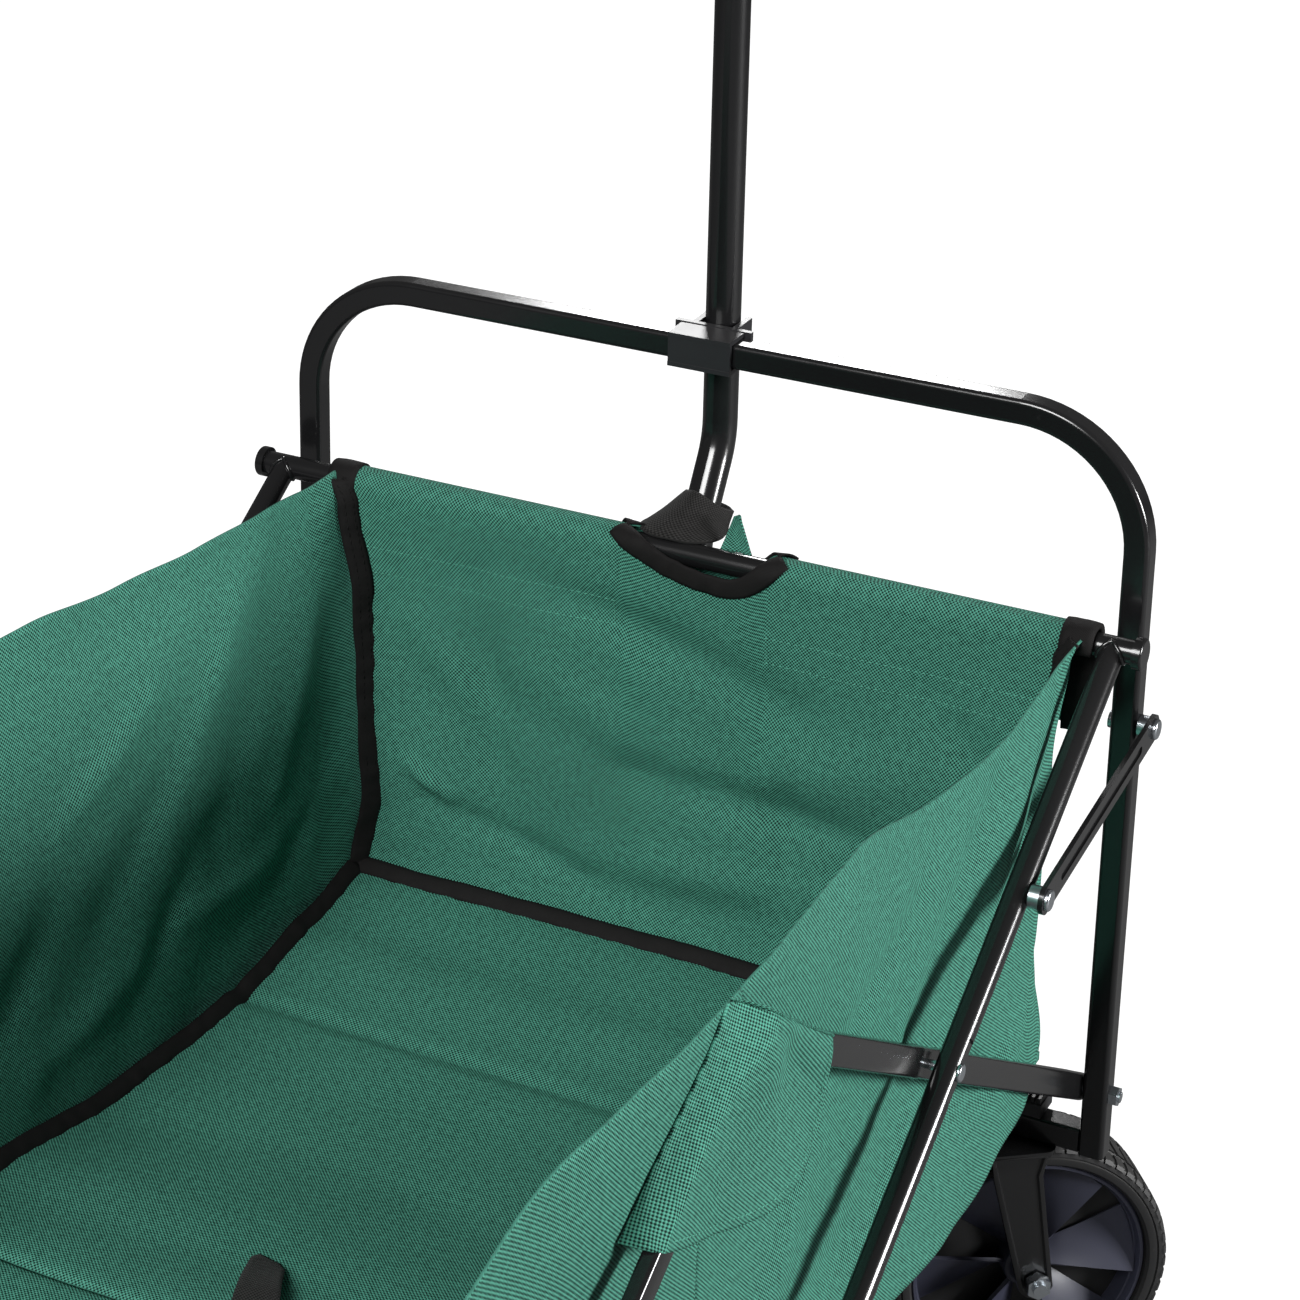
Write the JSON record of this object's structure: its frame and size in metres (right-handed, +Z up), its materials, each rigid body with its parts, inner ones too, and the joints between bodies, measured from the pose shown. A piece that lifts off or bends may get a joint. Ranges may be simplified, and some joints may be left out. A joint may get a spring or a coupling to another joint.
{
  "type": "folding camp wagon",
  "caption": "Folding fabric camp wagon with a crossed-bar steel frame, swivel front casters, fixed rear wheels and an upright pull handle.",
  "frame": {"origin": "on the ground under the middle of the whole open wagon", "axes": "+X to the left of the person pulling, -Y forwards to the handle end, +Z up"},
  "size_m": [0.5352, 1.0588, 0.967],
  "materials": {
    "black_steel": "satin",
    "zinc": "satin",
    "green_fabric": "matte",
    "black_webbing": "matte",
    "tyre_rubber": "matte",
    "wheel_plastic": "satin",
    "black_plastic": "satin"
  },
  "bodies": {
    "front_frame": {"front_u_frame": "black_steel", "front_cross_tube": "black_steel", "front_frame_fasteners": "zinc", "caster_mount_left": "black_plastic", "caster_mount_right": "black_plastic", "handle_bracket": "black_steel", "handle_clip": "black_plastic"},
    "front_lift_bars": {"front_lift_bar_left": "black_steel", "front_lift_bar_right": "black_steel", "apex_rivets": "zinc"},
    "front_hem_frame": {"front_hem_bar": "black_steel", "front_hem_rod_left": "black_steel", "front_hem_rod_right": "black_steel", "front_crossing_rivets": "zinc"},
    "front_links": {"front_link_left": "black_steel", "front_link_right": "black_steel", "front_link_rivets": "zinc"},
    "front_basket": {"front_panel": "green_fabric", "front_floor": "green_fabric", "handle_strap": "black_webbing", "front_side_panel_left": "green_fabric", "front_side_panel_right": "green_fabric"},
    "rear_lift_bars": {"rear_lift_bar_left": "black_steel", "rear_lift_bar_right": "black_steel"},
    "rear_hem_frame": {"rear_hem_bar": "black_steel", "rear_hem_rod_left": "black_steel", "rear_hem_rod_right": "black_steel", "rear_crossing_rivets": "zinc"},
    "rear_links": {"rear_link_left": "black_steel", "rear_link_right": "black_steel", "rear_link_rivets": "zinc"},
    "rear_basket": {"rear_panel": "green_fabric", "rear_floor": "green_fabric", "rear_side_panel_left": "green_fabric", "rear_side_panel_right": "green_fabric"},
    "rear_frame": {"rear_u_frame": "black_steel", "rear_cross_tube": "black_steel", "rear_frame_fasteners": "zinc", "rear_fork_left": "black_steel", "rear_fork_right": "black_steel", "rear_axles": "zinc"},
    "front_floor_rails": {"front_floor_rails": "black_steel"},
    "rear_floor_rails": {"rear_floor_rails": "black_steel"},
    "handle": {"handle_stem": "black_steel", "handle_collar": "black_plastic"},
    "handle_top": {"handle_tube": "black_steel", "handle_grip": "black_plastic"},
    "left_caster": {"caster_fork_left": "black_steel", "caster_axle_left": "zinc"},
    "right_caster": {"caster_fork_right": "black_steel", "caster_axle_right": "zinc"},
    "left_front_wheel": {"caster_tyre_left": "tyre_rubber", "caster_rim_left": "wheel_plastic"},
    "right_front_wheel": {"caster_tyre_right": "tyre_rubber", "caster_rim_right": "wheel_plastic"},
    "left_rear_wheel": {"rear_tyre_left": "tyre_rubber", "rear_rim_left": "wheel_plastic"},
    "right_rear_wheel": {"rear_tyre_right": "tyre_rubber", "rear_rim_right": "wheel_plastic"}
  },
  "joints": [
    {"name": "fold", "type": "hinge", "parent": "front_frame", "child": "front_lift_bars", "pos_m": [0.00729, -0.45359, 0.203], "axis": [1, 0, 0], "range_deg": [0, 48.38], "deforming": ["front_panel", "front_floor", "handle_strap", "front_side_panel_left", "front_side_panel_right", "rear_panel", "rear_floor", "rear_side_panel_left", "rear_side_panel_right"]},
    {"name": "front_crossing", "type": "hinge", "parent": "front_lift_bars", "child": "front_hem_frame", "pos_m": [0.00729, -0.21199, 0.35176], "axis": [1, 0, 0], "range_deg": [-96.76, 0]},
    {"name": "front_hem_hang", "type": "hinge", "parent": "front_hem_frame", "child": "front_basket", "pos_m": [0.00729, -0.42189, 0.481], "axis": [1, 0, 0], "range_deg": [0, 48.38]},
    {"name": "front_link_pivot", "type": "hinge", "parent": "front_frame", "child": "front_links", "pos_m": [0.00729, -0.45359, 0.425], "axis": [1, 0, 0], "range_deg": [0, 86.02]},
    {"name": "apex", "type": "hinge", "parent": "front_lift_bars", "child": "rear_lift_bars", "pos_m": [0.00729, -0.00209, 0.481], "axis": [1, 0, 0], "range_deg": [-96.76, 0]},
    {"name": "rear_crossing", "type": "hinge", "parent": "rear_lift_bars", "child": "rear_hem_frame", "pos_m": [0.00729, 0.20781, 0.35176], "axis": [1, 0, 0], "range_deg": [0, 96.76]},
    {"name": "rear_hem_hang", "type": "hinge", "parent": "rear_hem_frame", "child": "rear_basket", "pos_m": [0.00729, 0.41772, 0.481], "axis": [1, 0, 0], "range_deg": [-48.38, 0]},
    {"name": "rear_leg_pivot", "type": "hinge", "parent": "rear_lift_bars", "child": "rear_frame", "pos_m": [0.00729, 0.44941, 0.203], "axis": [1, 0, 0], "range_deg": [0, 48.38]},
    {"name": "rear_link_pivot", "type": "hinge", "parent": "rear_frame", "child": "rear_links", "pos_m": [0.00729, 0.44941, 0.425], "axis": [1, 0, 0], "range_deg": [-86.02, 0]},
    {"name": "front_rail_pivot", "type": "hinge", "parent": "front_frame", "child": "front_floor_rails", "pos_m": [0.00729, -0.43759, 0.1785], "axis": [1, 0, 0], "range_deg": [0, 78.83]},
    {"name": "rear_rail_pivot", "type": "hinge", "parent": "rear_frame", "child": "rear_floor_rails", "pos_m": [0.00729, 0.43341, 0.1785], "axis": [1, 0, 0], "range_deg": [-78.83, 0]},
    {"name": "handle_tilt", "type": "hinge", "parent": "front_frame", "child": "handle", "pos_m": [0.00729, -0.45359, 0.205], "axis": [1, 0, 0], "range_deg": [0, 95]},
    {"name": "handle_slide", "type": "slide", "parent": "handle", "child": "handle_top", "axis": [0, 0, 1], "range_m": [0, 0.2]},
    {"name": "left_caster_swivel", "type": "hinge", "parent": "front_frame", "child": "left_caster", "pos_m": [0.19229, -0.45359, 0.134], "axis": [0, 0, 1], "continuous": true},
    {"name": "left_front_wheel_spin", "type": "hinge", "parent": "left_caster", "child": "left_front_wheel", "pos_m": [0.17307, -0.44808, 0.08], "axis": [0.2756, 0.9613, 0], "continuous": true},
    {"name": "left_rear_wheel_spin", "type": "hinge", "parent": "rear_frame", "child": "left_rear_wheel", "pos_m": [0.19229, 0.44941, 0.08], "axis": [1, 0, 0], "continuous": true},
    {"name": "right_caster_swivel", "type": "hinge", "parent": "front_frame", "child": "right_caster", "pos_m": [-0.17771, -0.45359, 0.134], "axis": [0, 0, 1], "continuous": true},
    {"name": "right_front_wheel_spin", "type": "hinge", "parent": "right_caster", "child": "right_front_wheel", "pos_m": [-0.19347, -0.4659, 0.08], "axis": [-0.6157, 0.788, 0], "continuous": true},
    {"name": "right_rear_wheel_spin", "type": "hinge", "parent": "rear_frame", "child": "right_rear_wheel", "pos_m": [-0.17771, 0.44941, 0.08], "axis": [1, 0, 0], "continuous": true}
  ],
  "couplings": [
    {"joint": "front_crossing", "follows": "fold", "ratio": -2},
    {"joint": "front_hem_hang", "follows": "fold", "ratio": 1},
    {"joint": "front_link_pivot", "follows": "fold", "ratio": 1.7781},
    {"joint": "apex", "follows": "fold", "ratio": -2},
    {"joint": "rear_crossing", "follows": "fold", "ratio": 2},
    {"joint": "rear_hem_hang", "follows": "fold", "ratio": -1},
    {"joint": "rear_leg_pivot", "follows": "fold", "ratio": 1},
    {"joint": "rear_link_pivot", "follows": "fold", "ratio": -1.7781},
    {"joint": "front_rail_pivot", "follows": "fold", "ratio": 1.6295},
    {"joint": "rear_rail_pivot", "follows": "fold", "ratio": -1.6295}
  ]
}
